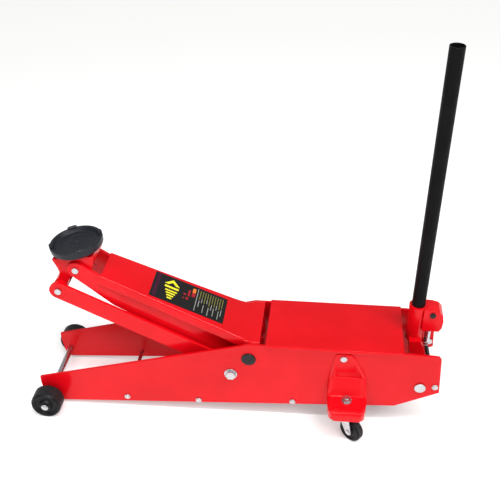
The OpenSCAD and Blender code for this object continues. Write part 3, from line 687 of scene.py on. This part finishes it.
def arm_outline():
    """Corners of the channel's top face, front to back, as (x, z, half width), and the tail's height."""
    near, tail_length = 0.2 * MM, 2 * MM
    verts = [v.co for v in NODES["arm_top_channel"].data.vertices]
    end_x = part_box("arm_top_channel")[1].x
    level = max(v.z for v in verts if v.x > end_x - tail_length)
    out = LABEL_AXES[2]
    slope_point = LABEL_CORNER - out * LABEL_THICK * MM
    corners = {}
    for v in verts:
        on_slope = abs((v - slope_point).dot(out)) < near
        on_tail = abs(v.z - level) < near and v.x > 0
        if on_slope or on_tail:
            x = round(v.x, 3)
            corners[x] = max(corners.get(x, (0, 0)), (abs(v.y), v.z))
    return [(x, z, y) for x, (y, z) in sorted(corners.items())], level


def width_at(x, corners):
    """Half width at x, between the corners on either side of it."""
    before = max((c for c in corners if c[0] <= x + SAME_POINT), key=lambda c: c[0])
    after = min((c for c in corners if c[0] >= x - SAME_POINT), key=lambda c: c[0])
    span = after[0] - before[0]
    return before[2] + (after[2] - before[2]) * ((x - before[0]) / span if span > SAME_POINT else 0)


def arm_channel():
    """The arm's top: one sheet bent down along both sides, sloping and then level over the pivot."""
    corners, level = arm_outline()
    start_x, start_z, _ = corners[0]
    slope, run = LABEL_AXES[0], ARM_BEND_RUN
    fall = slope.z / slope.x
    bend_x = start_x + (start_z - level) / -slope.z * slope.x
    stations = {c[0] for c in corners}
    stations |= {bend_x + run * k / ARM_BEND_STEPS for k in range(-ARM_BEND_STEPS, ARM_BEND_STEPS + 1)}
    rings = []
    for x in sorted(stations):
        if x > corners[-1][0] + SAME_POINT or x < start_x - SAME_POINT:
            continue
        part = min(max((x - bend_x + run) / (2 * run), 0), 1)
        if part <= 0:
            z = start_z + (x - start_x) * fall
        else:
            # a parabola that leaves the slope and joins the level tail without a corner
            z = level - fall * run * (1 - part) ** 2
        tilt = -math.atan(fall * (1 - part))
        up = Vector((math.sin(tilt), 0, math.cos(tilt)))
        section = channel_section(width_at(x, corners) / MM, ARM_DEPTH, ARM_SHEET, ARM_BEND)
        rings.append([Vector((x, y * MM, z)) + up * (w * MM) for y, w in section])
    bm = bmesh.new()
    skin(bm, rings)
    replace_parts(new_piece("arm_sheet", bm, "lift_arm", "red_enamel", "red_enamel"), "arm_top_channel")


# ---------------------------------------------------------------- caster brackets
# down the pressed shell, in mm: out from the side plate, height, left and right edge from the stem,
# where the turned-down side ends (out, height), and how far the side ridges stand up
BRACKET_STATIONS = [
    (5, 226.3, -27, 6, 0.3, 226.3, 0), (5, 221, -30, 10, 0.3, 221, 0), (5, 214, -34, 16, 0.3, 214, 0.3),
    (5, 196, -37, 24, 0.3, 196, 1.6), (5, 175, -40, 34, 0.3, 175, 2.6), (5.2, 157, -43.3, 43, 0.3, 157, 3),
    (8, 149.5, -44.3, 45, 0.3, 149.5, 3), (12, 140, -45.5, 46, 0.3, 140, 3), (19, 124, -47, 48, 0.5, 120, 3),
    (24, 114.8, -47.6, 48.6, 1, 100, 2.8), (29, 112, -47.4, 48.6, 3, 86, 2.6),
    (45, 112, -46, 47.4, 45, 86, 2.4), (62, 112, -44, 45, 62, 86, 2), (74, 111, -41, 42, 72, 86, 1.2),
    (80, 107.5, -37.5, 38, 76, 86, 0.6), (82.3, 101, -35, 35.5, 78, 86, 0.3),
    (82.3, 86, -32, 33, 78.5, 86, 0)]
BRACKET_ROWS_BETWEEN = 4
BRACKET_SHEET = 4.6
# the sheet is thinned where it meets the side plate: its gap there, and the least that it may be
PLATE_GAP, LEAST_SHEET = 0.4, 0.5
# how far in from the edge the ridge's crest is, and how much of the sheet's thickness the inner skin's
# edge is in from the outer one's
RIDGE_AT = 6.0
INNER_EDGE_SHARE = 0.65


def smooth_rows(rows, steps):
    """More rows between the given ones, on a Catmull-Rom curve, which passes through them."""
    out = []
    for i in range(len(rows) - 1):
        a, b, c, d = rows[max(i - 1, 0)], rows[i], rows[i + 1], rows[min(i + 2, len(rows) - 1)]
        for k in range(steps):
            t = k / steps
            out.append([q + t * ((r - p) / 2 + t * (p - 2.5 * q + 2 * r - s / 2
                                                    + t * (1.5 * (q - r) + (s - p) / 2)))
                        for p, q, r, s in zip(a, b, c, d)])
    out.append(list(rows[-1]))
    return out


def bracket_edge(edge, inward, sheet, face, end, up, ridge):
    """Half a section, from the foot of the turned-down side over its corner and ridge to the face."""
    top = face - up * sheet
    fall = (top - end).length
    rise = max(ridge - sheet * 0.1, 0)
    steps = [(0.0, end), (0.0, end.lerp(top, 0.6)), (0.3, top - up * min(2.2, fall / 3)),
             (1.4, top - up * min(0.6, fall / 6)), (RIDGE_AT * 0.6, top + up * rise * 0.8),
             (RIDGE_AT, top + up * rise), (RIDGE_AT + 3, top + up * rise * 0.55), (RIDGE_AT + 7, top)]
    return [(edge + inward * (x + sheet * INNER_EDGE_SHARE), p.x, p.y) for x, p in steps]


def bracket_ring(row, ahead, back):
    """One closed section of the shell, as (x, out, height) in mm: outer skin, then inner skin."""
    out, z, left, right, end_out, end_z, ridge = row
    run = Vector((ahead[0] - back[0], ahead[1] - back[1])).normalized()
    up = Vector((-run.y, run.x))
    if up.x + up.y < 0:
        up = -up
    face, end = Vector((out, z)), Vector((end_out, end_z))
    skins = []
    for sheet in (0, min(BRACKET_SHEET, max(out - PLATE_GAP, LEAST_SHEET))):
        near = bracket_edge(left, 1, sheet, face, end, up, ridge)
        far = bracket_edge(right, -1, sheet, face, end, up, ridge)
        skins.append(near + far[::-1])
    return skins[0] + skins[1][::-1]


def caster_bracket(side, sign):
    """The pressed outrigger: a stem down the side plate that turns out into a shelf over the caster."""
    stem_x = middle("caster_kingpins").x
    plate_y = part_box("side_plate_left")[0].y
    rows = smooth_rows(BRACKET_STATIONS, BRACKET_ROWS_BETWEEN)
    rings = []
    for i, row in enumerate(rows):
        ring = bracket_ring(row, rows[min(i + 1, len(rows) - 1)], rows[max(i - 1, 0)])
        rings.append([Vector((stem_x + x * MM, sign * (-plate_y + out * MM), z * MM)) for x, out, z in ring])
    bm = bmesh.new()
    skin(bm, rings)
    shell = new_piece("bracket_shell_" + side, bm, "frame", "red_enamel", "red_enamel")
    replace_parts(shell, "caster_bracket_" + side)


# ---------------------------------------------------------------- label
LABEL_THICK = 0.6
# the ink starts just inside the label and stands this far out of it
INK_SINK, INK_LIFT = -0.05, 0.15


def label_frame():
    """Front far corner of the label's printed face, and its axes: down the slope, toward the viewer, out."""
    mesh = NODES["rating_label"].data
    top = max(mesh.polygons, key=lambda f: f.area * (f.normal.z > 0.5))
    out = top.normal.copy()
    down = Vector((out.z, 0, -out.x)).normalized()
    near = Vector((0, -1, 0))
    corners = [v.co for v in mesh.vertices if abs((v.co - top.center).dot(out)) < 0.1 * MM]
    return min(corners, key=lambda c: c.dot(down) * 10 + c.dot(near)), (down, near, out)


def label_marks(name, material, shapes):
    """Flat printed shapes on the label: each is a list of (along, across) points in mm."""
    down, near, out = LABEL_AXES
    bm = bmesh.new()
    for shape in shapes:
        rings = [[LABEL_CORNER + (down * u + near * v + out * lift) * MM for u, v in shape]
                 for lift in (INK_SINK, INK_LIFT)]
        skin(bm, rings)
    new_piece(name, bm, "lift_arm", "label_print", material)


def bar(u, v, length, width):
    """A rectangle on the label, from its corner at (u, v)."""
    return [(u, v), (u + length, v), (u + length, v + width), (u, v + width)]


def label():
    """Generic print: a lift symbol, bars for a capacity scale, blocks, a rule and lines of dashes."""
    arrow = [(28, 30), (48, 10), (68, 30), (58, 30), (48, 20.5), (38, 30)]
    scale = [bar(34 + 3 * k, 50 + 9 * k, 30 - 6 * k, 5) for k in range(4)]
    label_marks("label_yellow_marks", "label_yellow", [arrow, bar(30, 36, 36, 7)] + scale)
    label_marks("label_plum_band", "label_plum", [bar(6, 4, 9, 87)])
    label_marks("label_orange_bar", "label_orange", [bar(101, 10, 8, 16)])
    label_marks("label_red_marks", "label_red",
                [bar(101, 26, 8, 16), bar(91, 22, 5, 24), bar(80, 40, 6, 6), bar(88, 52, 6, 8),
                 bar(80, 56, 4, 4)])
    label_marks("label_rule", "label_pale", [bar(114, 6, 1.2, 83)])
    # each line is a long dash and, after a gap, a thinner one
    first, step, margin, dash, end_dash = 121, 6.6, 8, 0.55, 0.38
    lengths = (62, 44, 78, 40, 82, 58, 76, 50, 80, 66)
    label_marks("label_lines", "label_olive",
                [bar(first + step * k, margin, 2.0, reach * dash) for k, reach in enumerate(lengths)])
    label_marks("label_line_ends", "label_pale",
                [bar(first + 0.4 + step * k, margin + reach * (1 - end_dash), 1.2, reach * end_dash)
                 for k, reach in enumerate(lengths)])


make_camera()
make_floor()
make_lights()
MATERIALS = make_materials()
LABEL_CORNER, LABEL_AXES = label_frame()
for node_name in NODES:
    finish_cad_node(node_name)
for side_name, side_sign in SIDES:
    front_wheel(side_name, side_sign)
    caster_wheel(side_name)
    caster_bracket(side_name, side_sign)
saddle()
return_springs()
top_cover()
arm_channel()
label()
